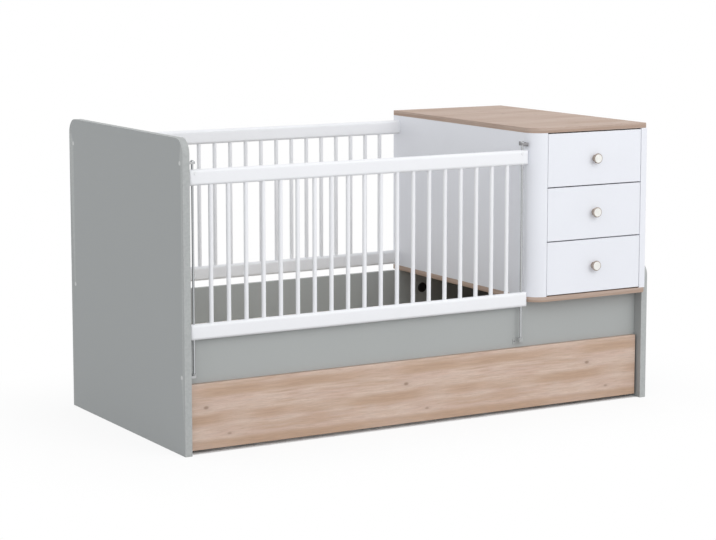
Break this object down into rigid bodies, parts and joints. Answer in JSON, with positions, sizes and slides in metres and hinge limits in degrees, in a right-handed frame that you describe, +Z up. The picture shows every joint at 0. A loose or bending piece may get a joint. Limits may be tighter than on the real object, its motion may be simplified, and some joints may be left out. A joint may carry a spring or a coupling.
{
  "type": "crib with attached changer",
  "caption": "Convertible crib with a sliding drop side on steel rods, a changer chest with drawers and a wheeled pull-out bed below.",
  "frame": {"origin": "under the centre of the bounding box, on the floor", "axes": "+X along the bed from the tall end panel to the changer chest, +Y from the drop side to the back, +Z up"},
  "size_m": [1.86, 0.962, 1.033],
  "materials": {
    "grey_board": "matt grey laminate",
    "white_board": "satin white laminate",
    "white_lacquer": "satin white lacquer",
    "oak_decor": "matt pale oak decor",
    "brown_wood": "oiled",
    "bare_pine": "bare",
    "steel": "zinc plated",
    "black_plastic": "matt",
    "white_plastic": "satin"
  },
  "bodies": {
    "frame": {"left_end_panel": "grey_board", "right_end_panel": "grey_board", "front_side_board": "grey_board", "back_side_board": "grey_board", "cover_cap": "black_plastic", "screw_caps": "white_plastic", "base_ledgers": "bare_pine", "base_slats": "bare_pine", "back_guard_top_rail": "white_lacquer", "back_guard_bottom_rail": "white_lacquer", "back_guard_slats": "white_lacquer", "guide_rods": "steel", "left_rod_brackets": "steel", "right_upper_bracket": "steel", "right_lower_bracket": "steel", "rod_bumpers": "white_plastic", "chest_platform": "oak_decor", "chest_left_side": "white_board", "chest_corner_post": "white_board", "chest_partition": "white_board", "chest_right_side": "white_board", "chest_back_panel": "white_board", "changer_top": "oak_decor", "fixed_runners": "steel"},
    "drop_side": {"guard_top_rail": "white_lacquer", "guard_bottom_rail": "white_lacquer", "guard_slats": "white_lacquer", "guide_bushes": "white_plastic"},
    "left_button": {"left_release_button": "white_plastic"},
    "right_button": {"right_release_button": "white_plastic"},
    "drawer_1": {"drawer_1_front": "white_board", "drawer_1_box": "white_board", "drawer_1_bottom": "white_board", "drawer_1_runners": "steel", "drawer_1_knob_neck": "brown_wood", "drawer_1_knob_cap": "white_lacquer"},
    "drawer_2": {"drawer_2_front": "white_board", "drawer_2_box": "white_board", "drawer_2_bottom": "white_board", "drawer_2_runners": "steel", "drawer_2_knob_neck": "brown_wood", "drawer_2_knob_cap": "white_lacquer"},
    "drawer_3": {"drawer_3_front": "white_board", "drawer_3_box": "white_board", "drawer_3_bottom": "white_board", "drawer_3_runners": "steel", "drawer_3_knob_neck": "brown_wood", "drawer_3_knob_cap": "white_lacquer"},
    "pull_out_bed": {"trundle_front": "oak_decor", "trundle_sides": "bare_pine", "trundle_back": "bare_pine", "trundle_ledgers": "bare_pine", "trundle_slats": "bare_pine", "wheel_forks": "steel", "wheel_axles": "steel"},
    "front_left_wheel_body": {"front_left_wheel": "black_plastic"},
    "front_right_wheel_body": {"front_right_wheel": "black_plastic"},
    "back_left_wheel_body": {"back_left_wheel": "black_plastic"},
    "back_right_wheel_body": {"back_right_wheel": "black_plastic"}
  },
  "joints": [
    {"name": "drop_side_slide", "type": "slide", "parent": "frame", "child": "drop_side", "axis": [0, 0, -1], "range_m": [0, 0.11]},
    {"name": "left_button_press", "type": "slide", "parent": "drop_side", "child": "left_button", "axis": [0, 1, 0], "range_m": [0, 0.0025], "stiffness_N_per_m": 400, "springref_m": -0.002},
    {"name": "right_button_press", "type": "slide", "parent": "drop_side", "child": "right_button", "axis": [0, 1, 0], "range_m": [0, 0.0025], "stiffness_N_per_m": 400, "springref_m": -0.002},
    {"name": "drawer_1_slide", "type": "slide", "parent": "frame", "child": "drawer_1", "axis": [0, -1, 0], "range_m": [0, 0.38]},
    {"name": "drawer_2_slide", "type": "slide", "parent": "frame", "child": "drawer_2", "axis": [0, -1, 0], "range_m": [0, 0.38]},
    {"name": "drawer_3_slide", "type": "slide", "parent": "frame", "child": "drawer_3", "axis": [0, -1, 0], "range_m": [0, 0.38]},
    {"name": "pull_out_slide", "type": "slide", "parent": "frame", "child": "pull_out_bed", "axis": [0, -1, 0], "range_m": [0, 0.7]},
    {"name": "front_left_wheel_turn", "type": "hinge", "parent": "pull_out_bed", "child": "front_left_wheel_body", "pos_m": [-0.872, -0.328, 0.0203], "axis": [1, 0, 0], "range_deg": [0, 2010]},
    {"name": "front_right_wheel_turn", "type": "hinge", "parent": "pull_out_bed", "child": "front_right_wheel_body", "pos_m": [0.872, -0.328, 0.0203], "axis": [1, 0, 0], "range_deg": [0, 2010]},
    {"name": "back_left_wheel_turn", "type": "hinge", "parent": "pull_out_bed", "child": "back_left_wheel_body", "pos_m": [-0.872, 0.342, 0.0203], "axis": [1, 0, 0], "range_deg": [0, 2010]},
    {"name": "back_right_wheel_turn", "type": "hinge", "parent": "pull_out_bed", "child": "back_right_wheel_body", "pos_m": [0.872, 0.342, 0.0203], "axis": [1, 0, 0], "range_deg": [0, 2010]}
  ],
  "couplings": [
    {"joint": "front_left_wheel_turn", "follows": "pull_out_slide", "rad_per_m": 50},
    {"joint": "front_right_wheel_turn", "follows": "pull_out_slide", "rad_per_m": 50},
    {"joint": "back_left_wheel_turn", "follows": "pull_out_slide", "rad_per_m": 50},
    {"joint": "back_right_wheel_turn", "follows": "pull_out_slide", "rad_per_m": 50}
  ]
}
